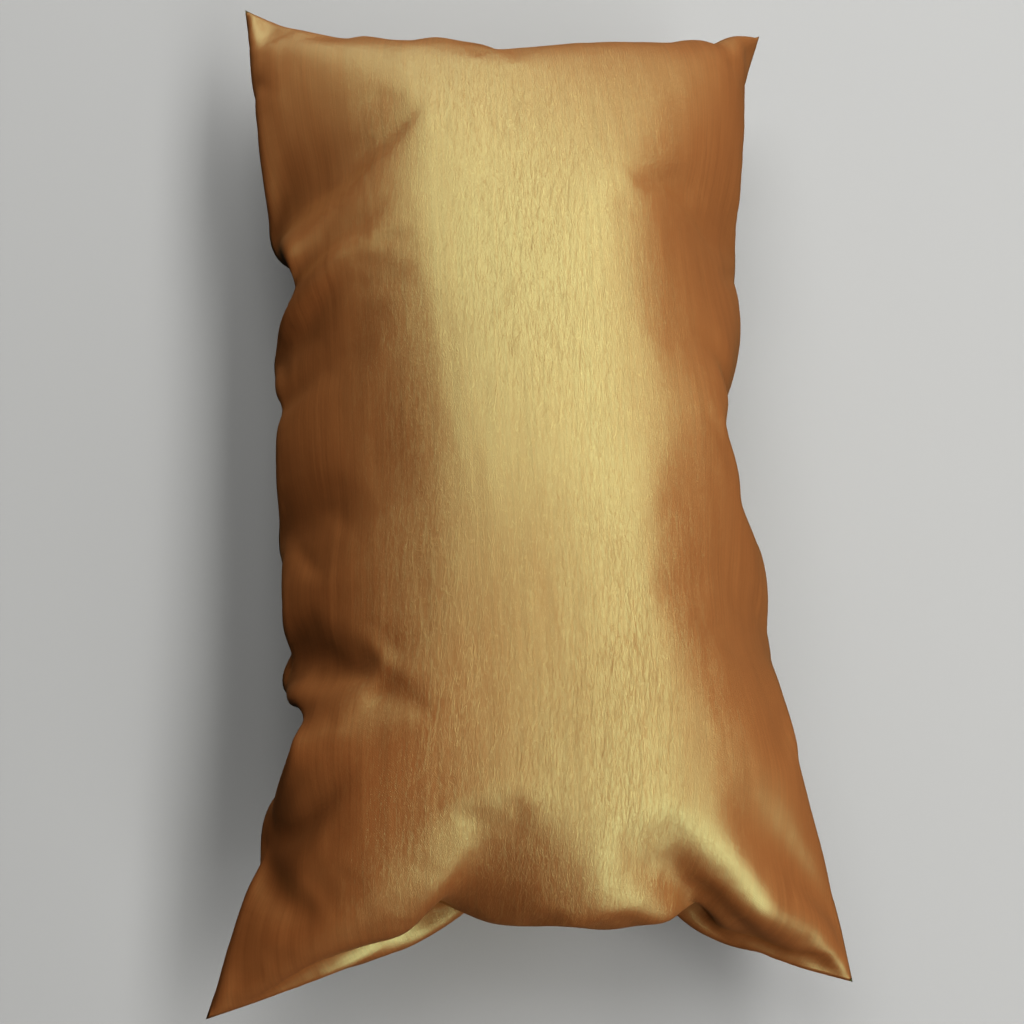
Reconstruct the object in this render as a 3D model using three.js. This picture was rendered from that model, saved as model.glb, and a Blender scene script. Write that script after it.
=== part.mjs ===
// Filled lumbar cushion cover: a front and a back panel of one cut size, sewn edge to edge, turned and
// blown up by the filling until the sides draw in between four pointed ears. It lies on its back panel.
import * as THREE from 'three';
import { mergeGeometries, mergeVertices } from 'three/addons/utils/BufferGeometryUtils.js';

// Driving dimensions, in millimetres. Width runs along X, length along Y, and far is +Y.
const PANEL_WIDTH = 290;
const PANEL_LENGTH = 500;
const FILLED_LITRES = 10.3;
const FLOOR_PRESS = 3;

// Ears of the filled cover, where two seams meet
const EARS = {
  farLeft: new THREE.Vector3(-138, 241, 60),
  farRight: new THREE.Vector3(138, 241, 60),
  nearLeft: new THREE.Vector3(-139, -243, 52),
  nearRight: new THREE.Vector3(138, -241, 54),
};

// One row for each gather of a seam. at: share of the side passed, from its first ear; inward: how far the
// filling draws the seam in from the straight line between the ears; height: above the floor.
const LEFT_SEAM = [
  { at: 0.08, inward: 6, height: 64 },
  { at: 0.22, inward: 17, height: 68 },
  { at: 0.3, inward: 21, height: 65 },
  { at: 0.345, inward: 41, height: 76 },
  { at: 0.39, inward: 24, height: 68 },
  { at: 0.5, inward: 31, height: 73 },
  { at: 0.6, inward: 26, height: 66 },
  { at: 0.67, inward: 38, height: 73 },
  { at: 0.725, inward: 29, height: 66 },
  { at: 0.77, inward: 51, height: 75 },
  { at: 0.82, inward: 26, height: 64 },
  { at: 0.9, inward: 20, height: 62 },
  { at: 0.96, inward: 7, height: 57 },
];
const RIGHT_SEAM = [
  { at: 0.08, inward: 14, height: 64 },
  { at: 0.18, inward: 27, height: 69 },
  { at: 0.3, inward: 28, height: 66 },
  { at: 0.42, inward: 43, height: 73 },
  { at: 0.53, inward: 56, height: 69 },
  { at: 0.58, inward: 45, height: 74 },
  { at: 0.7, inward: 28, height: 66 },
  { at: 0.81, inward: 35, height: 70 },
  { at: 0.92, inward: 8, height: 59 },
];
const FAR_SEAM = [
  { at: 0.08, inward: 12, height: 60 },
  { at: 0.16, inward: 27, height: 58 },
  { at: 0.25, inward: 34, height: 66 },
  { at: 0.38, inward: 50, height: 60 },
  { at: 0.5, inward: 53, height: 65 },
  { at: 0.64, inward: 46, height: 60 },
  { at: 0.78, inward: 31, height: 66 },
  { at: 0.9, inward: 15, height: 62 },
];
const NEAR_SEAM = [
  { at: 0.12, inward: 10, height: 57 },
  { at: 0.24, inward: 22, height: 60 },
  { at: 0.32, inward: 36, height: 57 },
  { at: 0.42, inward: 45, height: 69 },
  { at: 0.52, inward: 45, height: 62 },
  { at: 0.62, inward: 52, height: 71 },
  { at: 0.7, inward: 44, height: 63 },
  { at: 0.76, inward: 29, height: 56 },
  { at: 0.88, inward: 11, height: 58 },
];

// Cloth grid of one panel: even counts, so that its diagonals can turn towards all four ears
const CELLS_ACROSS = 36;
const CELLS_ALONG = 60;
const INDICES_PER_CELL = 6;
const START_SWELL = 55;

// How the filling is worked in: steps of pushing out, each followed by passes that pull the threads true.
// The push eases off over the last share of the volume.
const STEPS = 260;
const PUSH = 0.9;
const EASE_SHARE = 0.1;
const PASSES = 14;

// Share of a wrong length that one pass corrects, in a thread too long, in one too short, and across a fold
const STRETCH = 0.9;
const SQUEEZE = 0.35;
const BEND = 0.12;

const CUBIC_MM_PER_LITRE = 1e6;
const SEWN_TOLERANCE = 1e-3;

// A seam's curve through its gathers, from ear to ear.
function seamCurve(first, second, gathers) {
  const along = second.clone().sub(first);
  const inwardWay = new THREE.Vector3(-along.y, along.x, 0).normalize();
  if (inwardWay.dot(first) > 0) inwardWay.negate();
  const points = gathers.map(({ at, inward, height }) => {
    const point = first.clone().lerp(second, at).addScaledVector(inwardWay, inward);
    return point.setZ(height);
  });
  return new THREE.CatmullRomCurve3([first, ...points, second], false, 'centripetal');
}

const SEAMS = {
  left: seamCurve(EARS.farLeft, EARS.nearLeft, LEFT_SEAM),
  right: seamCurve(EARS.farRight, EARS.nearRight, RIGHT_SEAM),
  far: seamCurve(EARS.farLeft, EARS.farRight, FAR_SEAM),
  near: seamCurve(EARS.nearLeft, EARS.nearRight, NEAR_SEAM),
};

// Where a point of the cut edge lies once it is sewn. across and down run from 0 to 1 over the panel.
function seamPoint(across, down) {
  if (across === 0) return SEAMS.left.getPointAt(down);
  if (across === 1) return SEAMS.right.getPointAt(down);
  if (down === 0) return SEAMS.far.getPointAt(across);
  if (down === 1) return SEAMS.near.getPointAt(across);
  return null;
}

// A place inside the panel, carried along by the four seams.
function blendedPoint(across, down) {
  const mix = (a, b, share) => a.clone().lerp(b, share);
  const sideways = mix(SEAMS.left.getPointAt(down), SEAMS.right.getPointAt(down), across);
  const lengthways = mix(SEAMS.far.getPointAt(across), SEAMS.near.getPointAt(across), down);
  const farEdge = mix(EARS.farLeft, EARS.farRight, across);
  const nearEdge = mix(EARS.nearLeft, EARS.nearRight, across);
  return sideways.add(lengthways).sub(mix(farEdge, nearEdge, down));
}

// One panel cut flat, its diagonals turned towards the ears, then laid in the seams and swelled a little.
// facing is 1 for the front and -1 for the back.
function sewnPanel(facing) {
  const panel = new THREE.PlaneGeometry(PANEL_WIDTH, PANEL_LENGTH, CELLS_ACROSS, CELLS_ALONG);
  panel.deleteAttribute('normal');
  const corners = panel.index.array;
  const cells = CELLS_ACROSS * CELLS_ALONG;
  for (let cell = 0; cell < cells; cell++) {
    const isLeft = cell % CELLS_ACROSS < CELLS_ACROSS / 2;
    const isFar = cell < cells / 2;
    const start = INDICES_PER_CELL * cell;
    const [a, b, d, , c] = corners.slice(start, start + INDICES_PER_CELL);
    if (isLeft === isFar) corners.set([a, b, c, a, c, d], start);
  }
  if (facing < 0) corners.reverse();
  const { position, uv } = panel.attributes;
  const dome = (share) => Math.sqrt(4 * share * (1 - share));
  for (let i = 0; i < position.count; i++) {
    const across = uv.getX(i);
    const down = 1 - uv.getY(i);
    const swell = facing * START_SWELL * dome(across) * dome(down);
    const point = seamPoint(across, down) ?? blendedPoint(across, down);
    position.setXYZ(i, point.x, point.y, point.z + swell);
  }
  return panel;
}

// Threads between neighbouring points, as long as on the flat cut, and stays across each fold.
function layThreads(cover) {
  const corners = cover.index.array;
  const { uv } = cover.attributes;
  const flatLength = (i, j) => Math.hypot(
    (uv.getX(i) - uv.getX(j)) * PANEL_WIDTH,
    (uv.getY(i) - uv.getY(j)) * PANEL_LENGTH,
  );
  const edges = new Map();
  for (let t = 0; t < corners.length; t += 3) {
    const isFront = t < corners.length / 2;
    for (let k = 0; k < 3; k++) {
      const [i, j, tip] = [corners[t + k], corners[t + (k + 1) % 3], corners[t + (k + 2) % 3]];
      const key = Math.min(i, j) * uv.count + Math.max(i, j);
      if (!edges.has(key)) edges.set(key, { i, j, sides: [] });
      edges.get(key).sides.push({ tip, isFront });
    }
  }
  const threads = [];
  for (const { i, j, sides: [one, other] } of edges.values()) {
    threads.push({ i, j, length: flatLength(i, j), pull: STRETCH, push: SQUEEZE });
    if (one.isFront !== other.isFront) continue;
    const span = flatLength(one.tip, other.tip);
    threads.push({ i: one.tip, j: other.tip, length: span, pull: BEND, push: BEND });
  }
  return threads;
}

// The filling pushes every free point outwards, less as the cover nears its litres.
function pushOut(points, corners, freedom) {
  const outward = new Float64Array(points.length);
  const [a, b, c, normal] = Array.from({ length: 4 }, () => new THREE.Vector3());
  let volume = 0;
  for (let t = 0; t < corners.length; t += 3) {
    const triangle = [corners[t], corners[t + 1], corners[t + 2]];
    [a, b, c].forEach((corner, k) => corner.fromArray(points, 3 * triangle[k]));
    volume += a.dot(normal.copy(b).cross(c)) / 6;
    normal.copy(b).sub(a).cross(c.sub(a));
    for (const i of triangle) {
      outward[3 * i] += normal.x;
      outward[3 * i + 1] += normal.y;
      outward[3 * i + 2] += normal.z;
    }
  }
  const room = 1 - volume / (FILLED_LITRES * CUBIC_MM_PER_LITRE);
  const push = PUSH * THREE.MathUtils.clamp(room / EASE_SHARE, 0, 1);
  for (let i = 0; i < freedom.length; i++) {
    const size = Math.hypot(outward[3 * i], outward[3 * i + 1], outward[3 * i + 2]);
    for (let k = 3 * i; k < 3 * i + 3; k++) points[k] += freedom[i] * push * outward[k] / size;
  }
}

// One pass over the threads moves each pair of points towards its length on the flat cut.
function pullTrue(points, threads, freedom) {
  for (const { i, j, length, pull, push } of threads) {
    const share = freedom[i] + freedom[j];
    if (share === 0) continue;
    const dx = points[3 * j] - points[3 * i];
    const dy = points[3 * j + 1] - points[3 * i + 1];
    const dz = points[3 * j + 2] - points[3 * i + 2];
    const now = Math.hypot(dx, dy, dz);
    const move = (now > length ? pull : push) * (now - length) / (now * share);
    points[3 * i] += freedom[i] * move * dx;
    points[3 * i + 1] += freedom[i] * move * dy;
    points[3 * i + 2] += freedom[i] * move * dz;
    points[3 * j] -= freedom[j] * move * dx;
    points[3 * j + 1] -= freedom[j] * move * dy;
    points[3 * j + 2] -= freedom[j] * move * dz;
  }
}

function layOnFloor(points, floor) {
  for (let k = 2; k < points.length; k += 3) points[k] = Math.max(floor, points[k]);
}

// Both panels sewn along their edges and filled, the seams held in their gathers and the back on the floor.
function filledCover() {
  const cover = mergeVertices(mergeGeometries([sewnPanel(1), sewnPanel(-1)]), SEWN_TOLERANCE);
  const points = cover.attributes.position.array;
  const { uv } = cover.attributes;
  const isSewn = (i) => uv.getX(i) % 1 === 0 || uv.getY(i) % 1 === 0;
  const freedom = Array.from({ length: uv.count }, (_, i) => (isSewn(i) ? 0 : 1));
  const threads = layThreads(cover);
  for (let step = 0; step < STEPS; step++) {
    pushOut(points, cover.index.array, freedom);
    for (let pass = 0; pass < PASSES; pass++) {
      pullTrue(points, threads, freedom);
      layOnFloor(points, 0);
    }
  }
  layOnFloor(points, FLOOR_PRESS);
  cover.computeBoundingBox();
  const middle = cover.boundingBox.getCenter(new THREE.Vector3());
  cover.translate(-middle.x, -middle.y, -FLOOR_PRESS);
  cover.computeVertexNormals();
  return cover;
}

const goldSatin = new THREE.MeshStandardMaterial({ color: 0xb98a4a, roughness: 0.45, metalness: 0.2 });

const cushionCover = new THREE.Mesh(filledCover(), goldSatin);
cushionCover.name = 'cushion_cover';

const cushion = new THREE.Group();
cushion.add(cushionCover);

export default cushion;
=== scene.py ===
import math

import bpy
import numpy as np
from mathutils import Euler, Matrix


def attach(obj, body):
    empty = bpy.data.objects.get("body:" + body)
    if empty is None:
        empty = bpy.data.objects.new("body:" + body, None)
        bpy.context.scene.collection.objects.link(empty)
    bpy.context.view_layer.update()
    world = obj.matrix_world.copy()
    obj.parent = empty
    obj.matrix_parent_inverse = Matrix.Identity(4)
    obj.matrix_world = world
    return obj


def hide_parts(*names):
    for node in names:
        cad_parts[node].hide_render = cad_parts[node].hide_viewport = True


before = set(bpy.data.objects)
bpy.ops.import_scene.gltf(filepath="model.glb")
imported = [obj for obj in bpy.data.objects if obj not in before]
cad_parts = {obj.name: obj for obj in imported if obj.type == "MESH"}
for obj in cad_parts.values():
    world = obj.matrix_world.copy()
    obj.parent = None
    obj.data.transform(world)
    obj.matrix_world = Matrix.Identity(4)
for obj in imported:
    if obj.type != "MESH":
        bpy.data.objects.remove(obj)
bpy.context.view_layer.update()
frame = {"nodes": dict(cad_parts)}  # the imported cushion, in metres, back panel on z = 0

mm = 0.001
print("frame:", ", ".join(frame["nodes"]))

# the cover: two panels sewn round their edges, then filled
cover = {
    "cutSize": (290, 500),  # mm, one panel between its seams
    "origin": (0.5, 1.0, -3.0),  # mm, from the seam places below to the solid's own zero
    "ears": {  # mm, where two seams meet
        "farLeft": (-138, 241, 60), "farRight": (138, 241, 60),
        "nearLeft": (-139, -243, 52), "nearRight": (138, -241, 54),
    },
    # gathers of each seam: share of the side passed, mm drawn in, mm above the floor
    "leftSeam": [
        (0.08, 6, 64), (0.22, 17, 68), (0.30, 21, 65), (0.345, 41, 76), (0.39, 24, 68),
        (0.50, 31, 73), (0.60, 26, 66), (0.67, 38, 73), (0.725, 29, 66), (0.77, 51, 75),
        (0.82, 26, 64), (0.90, 20, 62), (0.96, 7, 57),
    ],
    "rightSeam": [
        (0.08, 14, 64), (0.18, 27, 69), (0.30, 28, 66), (0.42, 43, 73), (0.53, 56, 69),
        (0.58, 45, 74), (0.70, 28, 66), (0.81, 35, 70), (0.92, 8, 59),
    ],
    "farSeam": [
        (0.08, 12, 60), (0.16, 27, 58), (0.25, 34, 66), (0.38, 50, 60), (0.50, 53, 65),
        (0.64, 46, 60), (0.78, 31, 66), (0.90, 15, 62),
    ],
    "nearSeam": [
        (0.12, 10, 57), (0.24, 22, 60), (0.32, 36, 57), (0.42, 45, 69), (0.52, 45, 62),
        (0.62, 52, 71), (0.70, 44, 63), (0.76, 29, 56), (0.88, 11, 58),
    ],
    "startSwell": 55,  # mm, how far each panel stands off its seams before the filling
    "litres": 9.5,  # filling worked in
    # rounds of working it in: cells across and along, steps, passes of the threads, mm of push a step
    "rounds": [((36, 62), 190, 14, 0.9), ((72, 124), 50, 10, 0.5)],
    "stretch": 0.9, "squeeze": 0.35, "bend": 0.12,  # share of a wrong thread length mended in a pass
    # folds of the front: points (share across, share along, mm deep; less than 0 stands up),
    # and mm wide to each side of the line
    "folds": [
        # near end
        {"line": [(0.300, 1.00, 15), (0.345, 0.93, 12), (0.42, 0.84, 1)], "wide": (20, 8)},
        {"line": [(0.56, 0.97, -3), (0.55, 0.86, -2)], "wide": (20, 20)},
        {"line": [(0.60, 0.87, 1), (0.65, 0.872, 4), (0.70, 0.91, 9), (0.735, 1.0, 11)], "wide": (9, 9)},
        {"line": [(0.80, 0.92, -3), (0.90, 0.985, -2)], "wide": (10, 10)},
        # left side
        {"line": [(0.0, 0.362, 10), (0.10, 0.345, 7), (0.20, 0.318, 0)], "wide": (8, 8)},
        {"line": [(0.03, 0.385, -2), (0.19, 0.345, -2)], "wide": (8, 8)},
        {"line": [(0.02, 0.46, 4), (0.15, 0.435, 1)], "wide": (7, 7)},
        {"line": [(0.10, 0.565, 2), (0.16, 0.56, 2)], "wide": (12, 12)},
        {"line": [(0.0, 0.682, 7), (0.12, 0.662, 2)], "wide": (7, 7)},
        {"line": [(0.0, 0.757, 14), (0.09, 0.745, 9), (0.16, 0.738, 1)], "wide": (8, 8)},
        {"line": [(0.02, 0.868, 4), (0.14, 0.897, 3)], "wide": (9, 9)},
        # right side
        {"line": [(1.0, 0.578, 8), (0.88, 0.572, 2)], "wide": (8, 8)},
        {"line": [(0.764, 0.415, 1), (0.875, 0.468, 4), (1.0, 0.505, 2)], "wide": (8, 8)},
        # far end
        {"line": [(0.86, 0.0, 2), (0.90, 0.09, 3)], "wide": (8, 8)},
        {"line": [(0.236, 0.0, -4), (0.25, 0.09, -1)], "wide": (10, 10)},
    ],
    # how the cloth settles over its folds: frames, mm that it may move, mm that it keeps off the floor
    "frames": 16, "cap": 10, "skin": 0.5,
    "cloth": {
        "quality": 6, "mass": 0.3, "air_damping": 4,
        "tension_stiffness": 15, "compression_stiffness": 15, "shear_stiffness": 4.5,
        "bending_stiffness": 0.05,
        "tension_damping": 5, "compression_damping": 5, "shear_damping": 5,
        "use_pressure": True, "uniform_pressure_force": 3.0,  # the filling
        "shrink_min": -0.012,  # slack in the satin
    },
    "seamCrease": 0.6,  # how sharp the sewn edge stays when it is smoothed
    "fill": 0.8,  # how full the soft part counts as
}


def deselectAll():
    if bpy.context.mode != "OBJECT":
        bpy.ops.object.mode_set(mode="OBJECT")
    bpy.ops.object.select_all(action="DESELECT")


def smoothThrough(at, values, share):  # cubic through the rows of a table
    slope = np.gradient(values, at)
    k = np.clip(np.searchsorted(at, share, side="right") - 1, 0, len(at) - 2)
    width = at[k + 1] - at[k]
    t = (share - at[k]) / width
    start = (1 + 2 * t) * (1 - t) ** 2 * values[k] + t * (1 - t) ** 2 * width * slope[k]
    end = t * t * (3 - 2 * t) * values[k + 1] + t * t * (t - 1) * width * slope[k + 1]
    return start + end


def seamLine(firstEar, secondEar, gathers, cells):  # evenly spaced points from ear to ear
    first, second = np.array(firstEar, float), np.array(secondEar, float)
    rows = np.array([(0, 0, first[2]), *gathers, (1, 0, second[2])], float)
    share = np.linspace(0, 1, 20 * cells + 1)
    run = second[:2] - first[:2]
    inward = np.array((-run[1], run[0])) / np.linalg.norm(run)
    if inward @ first[:2] > 0:
        inward = -inward
    drawn = smoothThrough(rows[:, 0], rows[:, 1], share)
    flat = first[:2] + share[:, None] * run + drawn[:, None] * inward
    line = np.column_stack([flat, smoothThrough(rows[:, 0], rows[:, 2], share)])
    steps = np.linalg.norm(np.diff(line, axis=0), axis=1)
    passed = np.concatenate([[0], np.cumsum(steps)])
    even = np.linspace(0, passed[-1], cells + 1)
    return np.column_stack([np.interp(even, passed, line[:, axis]) for axis in range(3)])


def sewnPlaces(cells):  # where each grid point lies between its four seams, before the filling
    across, along = cells
    ears = cover["ears"]
    left = seamLine(ears["farLeft"], ears["nearLeft"], cover["leftSeam"], along)[:, None]
    right = seamLine(ears["farRight"], ears["nearRight"], cover["rightSeam"], along)[:, None]
    far = seamLine(ears["farLeft"], ears["farRight"], cover["farSeam"], across)[None]
    near = seamLine(ears["nearLeft"], ears["nearRight"], cover["nearSeam"], across)[None]
    u = np.linspace(0, 1, across + 1)[None, :, None]
    v = np.linspace(0, 1, along + 1)[:, None, None]
    corners = [np.array(ears[name], float) for name in ("farLeft", "farRight", "nearLeft", "nearRight")]
    straight = (1 - v) * ((1 - u) * corners[0] + u * corners[1]) + v * ((1 - u) * corners[2] + u * corners[3])
    places = (1 - u) * left + u * right + (1 - v) * far + v * near - straight + cover["origin"]
    swell = cover["startSwell"] * 4 * np.sqrt(u * (1 - u) * v * (1 - v))
    up = np.array((0, 0, 1))
    return np.stack([places + swell * up, places - swell * up])  # front, back


def layThreads(cells):  # pairs of grid points and their length on the flat cut, in sets that share no point
    across, along = cells
    width, length = cover["cutSize"][0] / across, cover["cutSize"][1] / along
    slant = math.hypot(width, length)
    every = slice(None)
    stretch, squeeze, bend = cover["stretch"], cover["squeeze"], cover["bend"]

    def pairs(count, first, reach, stride):
        number = (count - reach - first) // stride + 1
        end = first + stride * number
        return slice(first, end, stride), slice(first + reach, end + reach, stride)

    sets = []
    for first in (0, 1):
        here, there = pairs(across, first, 1, 2)
        sets.append(((every, every, here), (every, every, there), width, stretch, squeeze))
        here, there = pairs(along, first, 1, 2)
        sets.append(((every, here), (every, there), length, stretch, squeeze))
        inner, outer = slice(0, -1), slice(1, None)
        sets.append(((every, here, inner), (every, there, outer), slant, stretch / 2, squeeze / 2))
        sets.append(((every, here, outer), (every, there, inner), slant, stretch / 2, squeeze / 2))
    for first in range(4):
        here, there = pairs(across, first, 2, 4)
        sets.append(((every, every, here), (every, every, there), 2 * width, bend, bend))
        here, there = pairs(along, first, 2, 4)
        sets.append(((every, here), (every, there), 2 * length, bend, bend))
    return sets


def outwardWay(places):  # at each point, and the litres inside
    a, b, c, d = places[:, :-1, :-1], places[:, :-1, 1:], places[:, 1:, 1:], places[:, 1:, :-1]
    faces = np.cross(c - a, b - d) / 2
    faces[1] *= -1
    litres = ((a + b + c + d) / 4 * faces).sum() / 3e6
    way = np.zeros_like(places)
    for corner in (way[:, :-1, :-1], way[:, :-1, 1:], way[:, 1:, 1:], way[:, 1:, :-1]):
        corner += faces
    return way / np.linalg.norm(way, axis=-1, keepdims=True), litres


def fillCover(places, cells, steps, passes, push):  # threads keep their cut length while the filling goes in
    free = np.zeros((*places.shape[:3], 1))
    free[:, 1:-1, 1:-1] = 1  # the seam is held in its gathers
    threads = layThreads(cells)
    for _ in range(steps):
        way, litres = outwardWay(places)
        places += free * way * push * np.clip(10 * (1 - litres / cover["litres"]), 0, 1)
        for _ in range(passes):
            for here, there, length, stretch, squeeze in threads:
                gap = places[there] - places[here]
                now = np.sqrt(np.einsum("...k,...k->...", gap, gap))[..., None]
                share = np.maximum(free[here] + free[there], 1) * now
                gap *= np.where(now > length, stretch, squeeze) * (now - length) / share
                places[here] += free[here] * gap
                places[there] -= free[there] * gap
            np.maximum(places[..., 2], cover["origin"][2], out=places[..., 2])


def finerGrid(places, cells):
    for axis, count in ((2, cells[0]), (1, cells[1])):
        at = np.linspace(0, places.shape[axis] - 1, count + 1)
        low = np.minimum(at.astype(int), places.shape[axis] - 2)
        share = np.expand_dims(at - low, [k for k in range(4) if k != axis])
        places = (1 - share) * np.take(places, low, axis) + share * np.take(places, low + 1, axis)
    sewn = sewnPlaces(cells)
    sewn[:, 1:-1, 1:-1] = places[:, 1:-1, 1:-1]
    return sewn


def foldFront(places, cells):  # sinks and lifts the front along its folds
    across, along = cells
    width, length = cover["cutSize"]
    flat = np.stack(np.meshgrid(np.linspace(0, width, across + 1), np.linspace(0, length, along + 1)), -1)
    way = outwardWay(places)[0][0]
    moved = np.zeros(flat.shape[:2])
    for fold in cover["folds"]:
        nearest = np.full(flat.shape[:2], np.inf)
        depth = np.zeros(flat.shape[:2])
        for (u0, v0, d0), (u1, v1, d1) in zip(fold["line"], fold["line"][1:]):
            start = np.array((u0 * width, v0 * length))
            run = np.array(((u1 - u0) * width, (v1 - v0) * length))
            passed = np.clip((flat - start) @ run / (run @ run), 0, 1)
            off = flat - start - passed[..., None] * run
            side = run[0] * off[..., 1] - run[1] * off[..., 0] > 0
            away = np.linalg.norm(off, axis=-1) / np.where(side, *fold["wide"])
            closer = away < nearest
            nearest[closer] = away[closer]
            depth[closer] = (d0 + passed * (d1 - d0))[closer]
        moved += depth * np.exp(-nearest ** 2)
    free = np.zeros(flat.shape[:2])
    free[1:-1, 1:-1] = 1
    places[0] -= (moved * free)[..., None] * way


def addPanel(name, facing, cells):  # flat cut, its inside lifted off the edge that is sewn
    width, length = (side * mm for side in cover["cutSize"])
    deselectAll()
    bpy.ops.mesh.primitive_grid_add(x_subdivisions=cells[0], y_subdivisions=cells[1], size=1, calc_uvs=True)
    panel = bpy.context.active_object
    panel.name = name
    bpy.ops.transform.resize(value=(width, length, 1))
    bpy.ops.object.transform_apply(location=False, rotation=False, scale=True)
    bpy.ops.object.mode_set(mode="EDIT")
    bpy.ops.mesh.select_all(action="SELECT")
    if facing < 0:
        bpy.ops.mesh.flip_normals()
    bpy.ops.mesh.region_to_loop()
    bpy.ops.mesh.select_all(action="INVERT")
    bpy.ops.transform.translate(value=(0, 0, facing * mm))
    bpy.ops.object.mode_set(mode="OBJECT")
    return panel


def sewCover(cells):
    front, back = addPanel("cushionCover", 1, cells), addPanel("backPanel", -1, cells)
    deselectAll()
    back.select_set(True)
    front.select_set(True)
    bpy.context.view_layer.objects.active = front
    bpy.ops.object.join()
    bpy.ops.object.mode_set(mode="EDIT")
    bpy.ops.mesh.select_all(action="SELECT")
    bpy.ops.mesh.remove_doubles(threshold=0.1 * mm)
    bpy.ops.object.mode_set(mode="OBJECT")
    front.data.uv_layers[0].name = "cut"
    return front


def vertexPlaces(mesh):
    places = np.empty(3 * len(mesh.vertices))
    mesh.vertices.foreach_get("co", places)
    return places.reshape(-1, 3)


def setPlaces(mesh, places):
    mesh.vertices.foreach_set("co", places.ravel())
    mesh.update()


def layIn(piece, places, cells):  # each point of the flat cut goes to its filled place
    width, length = cover["cutSize"]
    flat = vertexPlaces(piece.data) / mm
    column = np.rint((flat[:, 0] / width + 0.5) * cells[0]).astype(int)
    row = np.rint((0.5 - flat[:, 1] / length) * cells[1]).astype(int)
    facing = np.rint(flat[:, 2])  # 1 front, -1 back, 0 on the seam
    seam = piece.vertex_groups.new(name="seam")
    seam.add(np.flatnonzero(facing == 0).tolist(), 1.0, "REPLACE")
    setPlaces(piece.data, places[(facing < 0).astype(int), row, column] * mm)


def settleCloth(piece):  # a little slack and the filling's pressure draw in the small puckers
    filled = vertexPlaces(piece.data)
    skin = cover["skin"] * mm
    deselectAll()
    bpy.ops.mesh.primitive_plane_add(size=2, location=(0, 0, cover["origin"][2] * mm - skin))
    board = bpy.context.active_object  # stands in for the floor
    bpy.ops.object.modifier_add(type="COLLISION")
    board.collision.thickness_outer = skin
    deselectAll()
    bpy.context.view_layer.objects.active = piece
    piece.select_set(True)
    cloth = piece.modifiers.new("satin", "CLOTH")  # an operator would build it before it is set
    cloth.point_cache.frame_end = cover["frames"]
    for name, value in cover["cloth"].items():
        setattr(cloth.settings, name, value)
    cloth.settings.vertex_group_mass = "seam"
    cloth.settings.effector_weights.gravity = 0
    cloth.collision_settings.distance_min = skin
    for frameNumber in range(1, cover["frames"] + 1):
        bpy.context.scene.frame_set(frameNumber)
    bpy.ops.object.modifier_apply(modifier=cloth.name)
    bpy.context.scene.frame_set(1)
    bpy.data.objects.remove(board)
    moved = vertexPlaces(piece.data) - filled
    size = np.linalg.norm(moved, axis=1, keepdims=True)
    cap = cover["cap"] * mm
    setPlaces(piece.data, filled + moved * np.minimum(1, cap / np.maximum(size, 1e-9)))


def layFlat(mesh):  # the back panel is flat where it touches the floor
    places = vertexPlaces(mesh)
    places[:, 2] = np.maximum(places[:, 2], 0)
    setPlaces(mesh, places)


def finishCover(piece):
    deselectAll()
    piece.select_set(True)
    bpy.context.view_layer.objects.active = piece
    bpy.ops.object.mode_set(mode="EDIT")
    bpy.ops.mesh.select_mode(type="EDGE")
    bpy.ops.mesh.select_all(action="DESELECT")
    bpy.ops.object.vertex_group_select()
    bpy.ops.transform.edge_crease(value=cover["seamCrease"])
    bpy.ops.object.mode_set(mode="OBJECT")
    bpy.ops.object.modifier_add(type="SUBSURF")
    soft = piece.modifiers[-1]
    soft.levels = soft.render_levels = 1
    bpy.ops.object.modifier_apply(modifier=soft.name)
    bpy.ops.object.shade_smooth()
    layFlat(piece.data)


# gold and rust shot satin, on the cut's own map: x across, y along, in mm
satin = {
    "rust": (0.37, 0.122, 0.036), "umber": (0.31, 0.096, 0.027),  # the matt ground of the cloth
    "paintedCrinkleHighlight": (0.60, 0.36, 0.13),  # painted highlight: the crinkle lines are lightened toward this colour where they catch the light
    "gloss": (0.78, 1.0, 0.47), "ior": 2.8, "glossLevel": 0.5,  # yellow floats that catch the light
    "roughness": (0.35, 0.42), "brushed": 0.3,
    # crinkles: mm across, mm along, degrees off the length, mm high, how thin, how bent
    "lines": (2.0, 13, -7, 0.045, 0.035, 1.2), "fineLines": (1.0, 4.5, 6, 0.028, 0.07, 1.0),
    # grain and soft creases: mm across, mm along, degrees off the length, mm high, octaves of detail
    "pebble": (0.7, 1.4, 0, 0.026, 2.0), "creases": (16, 80, 4, 0.45, 1.0), "bent": 0.3,
    "weave": (0.62, 0.02),  # mm from thread to thread, mm high
    "paintedHighlightGain": 4.5,  # share of the painted crinkle highlight in the colour for each mm of crinkle
    "crown": (35, 120, 0.15),  # mm from a long seam: crinkles least, crinkles full; share of them at least
    "streaks": (0.9, 70), "streakRange": (0.3, 0.7),  # mm across and along, noise from umber to rust
    "patches": (60, 90), "patchRange": (0.35, 0.65), "patchLeast": 0.6,  # mm, noise, least share of crinkle
    "gathers": (9, 45, 0.75), "gatherReach": 16,  # mm along the seam, mm into the panel, mm high; mm
}


def addNode(tree, kind, inputs, **options):
    made = tree.nodes.new(kind)
    for name, value in options.items():
        setattr(made, name, value)
    for key, value in inputs.items():
        if isinstance(value, bpy.types.NodeSocket):
            tree.links.new(value, made.inputs[key])
        else:
            made.inputs[key].default_value = value
    return made


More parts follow.
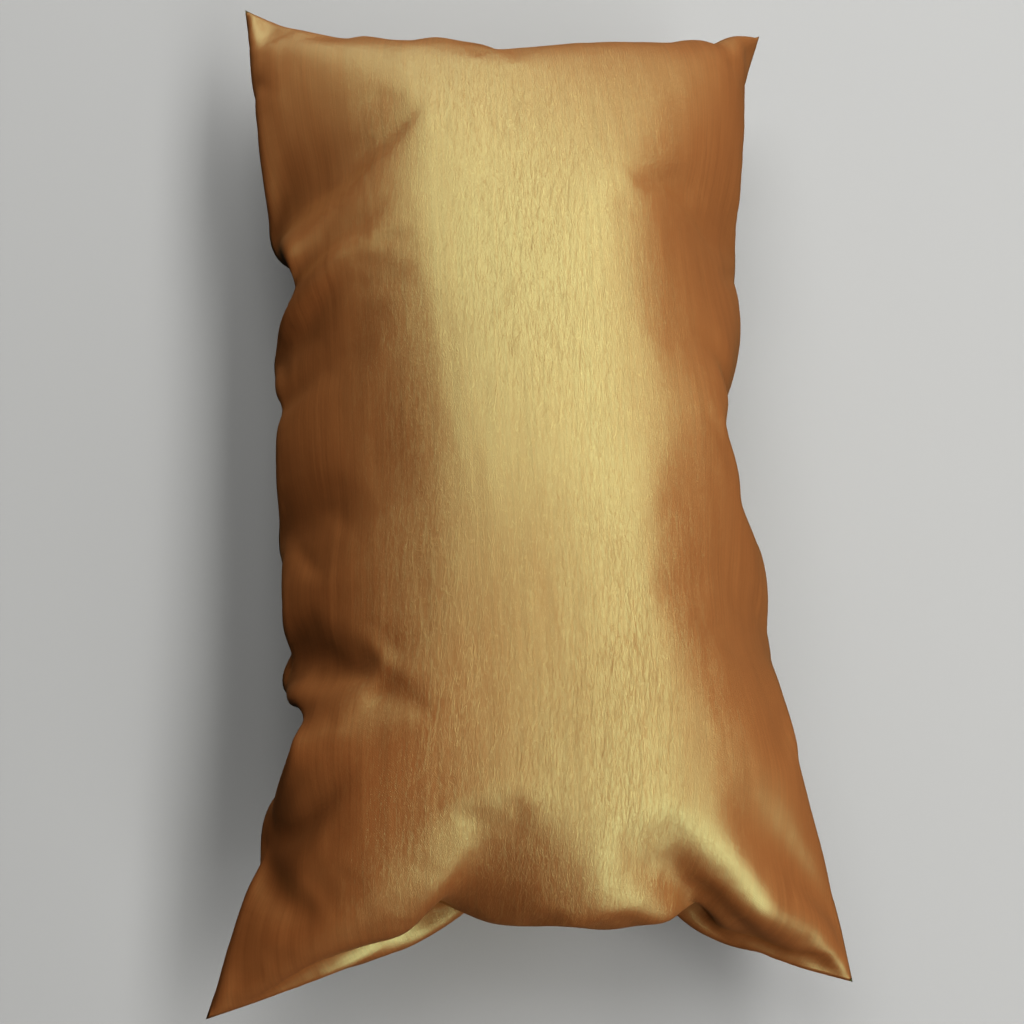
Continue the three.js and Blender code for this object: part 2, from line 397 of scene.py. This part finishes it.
def clothNoise(tree, cloth, across, along, turned=0, detail=2.0, warp=0.0):
    stretched = addNode(tree, "ShaderNodeMapping", {
        "Vector": cloth, "Rotation": (0, 0, math.radians(turned)), "Scale": (across, along, 1),
    }, vector_type="TEXTURE")
    noise = addNode(tree, "ShaderNodeTexNoise", {
        "Vector": stretched.outputs[0], "Scale": 1, "Detail": detail, "Distortion": warp,
    }, noise_dimensions="2D")
    return noise.outputs[0]


def mathNode(tree, operation, first, second=0.0, third=0.0):
    return addNode(tree, "ShaderNodeMath", {0: first, 1: second, 2: third}, operation=operation).outputs[0]


def mapRange(tree, value, fromRange, toRange, kind="LINEAR"):
    return addNode(tree, "ShaderNodeMapRange", {
        "Value": value, "From Min": fromRange[0], "From Max": fromRange[1],
        "To Min": toRange[0], "To Max": toRange[1],
    }, interpolation_type=kind).outputs[0]


def mixNode(tree, share, first, second):
    return addNode(tree, "ShaderNodeMix", {0: share, 6: first, 7: second}, data_type="RGBA").outputs[2]


def thinLines(tree, cloth, row):  # raised where the noise passes its middle
    across, along, turned, high, thin, warp = row
    noise = clothNoise(tree, cloth, across, along, turned, 2.0, warp)
    off = mathNode(tree, "ABSOLUTE", mathNode(tree, "SUBTRACT", noise, 0.5))
    return mapRange(tree, off, (0, thin), (high, 0), "SMOOTHSTEP")


def crownCrinkles(tree, cloth):  # they fade towards the long seams
    least, full, share = satin["crown"]
    across = addNode(tree, "ShaderNodeSeparateXYZ", {0: cloth}).outputs[0]
    away = mathNode(tree, "PINGPONG", across, cover["cutSize"][0] / 2)
    crowned = mapRange(tree, away, (least, full), (share, 1), "SMOOTHSTEP")
    lines = [thinLines(tree, cloth, satin[name]) for name in ("lines", "fineLines")]
    return mathNode(tree, "MULTIPLY", mathNode(tree, "ADD", *lines), crowned)


def weaveHeight(tree, cloth):
    pitch, high = satin["weave"]
    split = addNode(tree, "ShaderNodeSeparateXYZ", {0: cloth})
    angles = [mathNode(tree, "MULTIPLY", split.outputs[axis], 2 * math.pi / pitch) for axis in (0, 1)]
    weave = mathNode(tree, "MULTIPLY", *(mathNode(tree, "SINE", angle) for angle in angles))
    return mathNode(tree, "MULTIPLY", weave, high)


def seamGathers(tree, cloth):  # small puckers that run off each seam into the panel
    pitch, run, high = satin["gathers"]
    split = addNode(tree, "ShaderNodeSeparateXYZ", {0: cloth})
    height = 0.0
    for axis, size in enumerate(cover["cutSize"]):
        away = mathNode(tree, "PINGPONG", split.outputs[axis], size / 2)
        near = mathNode(tree, "EXPONENT", mathNode(tree, "MULTIPLY", away, -1 / satin["gatherReach"]))
        noise = clothNoise(tree, cloth, *((run, pitch) if axis == 0 else (pitch, run)), 0, 1.0)
        height = mathNode(tree, "MULTIPLY_ADD", mathNode(tree, "MULTIPLY", noise, near), high, height)
    return height


def satinMaterial():
    material = bpy.data.materials.new("goldSatin")
    material.use_nodes = True
    tree = material.node_tree
    shader = tree.nodes["Principled BSDF"]
    cut = addNode(tree, "ShaderNodeUVMap", {}, uv_map="cut").outputs[0]
    size = (*cover["cutSize"], 1)
    cloth = addNode(tree, "ShaderNodeVectorMath", {0: cut, 1: size}, operation="MULTIPLY").outputs[0]

    patches = clothNoise(tree, cloth, *satin["patches"])
    crinkle = crownCrinkles(tree, cloth)
    crinkled = mapRange(tree, patches, satin["patchRange"], (satin["patchLeast"], 1))
    height = mathNode(tree, "MULTIPLY", crinkle, crinkled)
    height = mathNode(tree, "ADD", height, seamGathers(tree, cloth))
    for name in ("pebble", "creases"):
        across, along, turned, high, detail = satin[name]
        noise = clothNoise(tree, cloth, across, along, turned, detail, satin["bent"])
        height = mathNode(tree, "MULTIPLY_ADD", noise, high, height)
    height = mathNode(tree, "ADD", height, weaveHeight(tree, cloth))
    bump = addNode(tree, "ShaderNodeBump", {"Height": height, "Strength": 1.0, "Distance": mm})

    streaks = clothNoise(tree, cloth, *satin["streaks"], 0, 3.0)
    tone = mapRange(tree, streaks, satin["streakRange"], (0, 1))
    colour = mixNode(tree, tone, (*satin["umber"], 1), (*satin["rust"], 1))
    # painted highlight: the colour is lightened toward straw along the crinkle lines
    paintedHighlightShare = mathNode(tree, "MULTIPLY", crinkle, satin["paintedHighlightGain"])
    colour = mixNode(tree, paintedHighlightShare, colour, (*satin["paintedCrinkleHighlight"], 1))
    roughness = mapRange(tree, patches, (0, 1), satin["roughness"])
    tangent = addNode(tree, "ShaderNodeTangent", {}, direction_type="UV_MAP", uv_map="cut")
    tree.links.new(colour, shader.inputs["Base Color"])
    tree.links.new(roughness, shader.inputs["Roughness"])
    tree.links.new(bump.outputs[0], shader.inputs["Normal"])
    tree.links.new(tangent.outputs[0], shader.inputs["Tangent"])
    shader.inputs["IOR"].default_value = satin["ior"]
    shader.inputs["Specular IOR Level"].default_value = satin["glossLevel"]
    shader.inputs["Specular Tint"].default_value = (*satin["gloss"], 1)
    shader.inputs["Anisotropic"].default_value = satin["brushed"]
    return material


cells = cover["rounds"][0][0]
places = sewnPlaces(cells)
for cells, steps, passes, push in cover["rounds"]:
    places = finerGrid(places, cells)
    fillCover(places, cells, steps, passes, push)
    print("filling worked in:", cells, "cells,", round(outwardWay(places)[1], 2), "litres")
foldFront(places, cells)
piece = sewCover(cells)
layIn(piece, places, cells)
settleCloth(piece)
finishCover(piece)
piece.data.materials.clear()
piece.data.materials.append(satinMaterial())
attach(piece, "root")
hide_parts("cushion_cover")
print("cover filled:", len(piece.data.polygons), "faces")

# pale floor, soft light and the photo's view
studio = {
    "floorColour": (0.44, 0.44, 0.43), "floorRoughness": 0.7, "floorGloss": 0.2, "floorSize": 12,  # m
    "camera": (-65.0, -162.8, 550.4),  # mm
    "turn": (15.37, -6.33, -1.74),  # degrees
    "sensor": 36, "lens": 36 * 1100 / 1024,  # mm
    # soft boxes: place in m, degrees of turn, size in m, watts
    "boxes": [
        ("overhead", (0.69, 0.5, 1.35), (0, 14, 0), (0.50, 5.0), 36),
        ("farEnd", (-0.40, 2.6, 0.8), (-90, 0, 0), (1.2, 1.5), 13),
        ("nearEnd", (1.1, -1.9, 0.95), (68, 0, 30), (0.9, 1.2), 13),
        ("ceiling", (-0.42, 1.0, 1.5), (-20, -8, 0), (1.2, 1.3), 14),
    ],
    "fill": (0.0, 0.05),  # from the dim side to the window side
}


def addFloor():
    deselectAll()
    bpy.ops.mesh.primitive_plane_add(size=studio["floorSize"])
    floor = bpy.context.active_object
    floor.name = "floor"
    material = bpy.data.materials.new("paleFloor")
    material.use_nodes = True
    shader = material.node_tree.nodes["Principled BSDF"]
    shader.inputs["Base Color"].default_value = (*studio["floorColour"], 1)
    shader.inputs["Roughness"].default_value = studio["floorRoughness"]
    shader.inputs["Specular IOR Level"].default_value = studio["floorGloss"]
    floor.data.materials.append(material)
    floor.visible_glossy = floor.visible_diffuse = False  # no glow from below on the satin's dark flanks


def addLights():
    for name, place, turn, size, power in studio["boxes"]:
        deselectAll()
        bpy.ops.object.light_add(type="AREA", location=place, rotation=[math.radians(v) for v in turn])
        lamp = bpy.context.active_object
        lamp.name = name
        lamp.data.shape = "RECTANGLE"
        lamp.data.size, lamp.data.size_y = size
        lamp.data.energy = power
    world = bpy.data.worlds.new("studioWorld")
    world.use_nodes = True
    tree = world.node_tree
    side = addNode(tree, "ShaderNodeTexCoord", {}).outputs["Generated"]
    across = addNode(tree, "ShaderNodeSeparateXYZ", {0: side}).outputs[0]
    strength = mapRange(tree, across, (-1, 1), studio["fill"])
    tree.links.new(strength, tree.nodes["Background"].inputs["Strength"])
    tree.nodes["Background"].inputs["Color"].default_value = (1, 1, 1, 1)
    bpy.context.scene.world = world
    bpy.context.scene.view_settings.view_transform = "Standard"
    bpy.context.scene.view_settings.look = "Medium High Contrast"


def addCamera():
    deselectAll()
    bpy.ops.object.camera_add(location=[v * mm for v in studio["camera"]])
    camera = bpy.context.active_object
    camera.name = "photoView"
    camera.rotation_euler = Euler([math.radians(v) for v in studio["turn"]])
    camera.data.sensor_width = studio["sensor"]
    camera.data.lens = studio["lens"]
    bpy.context.scene.camera = camera


addFloor()
addLights()
addCamera()
print("studio ready")
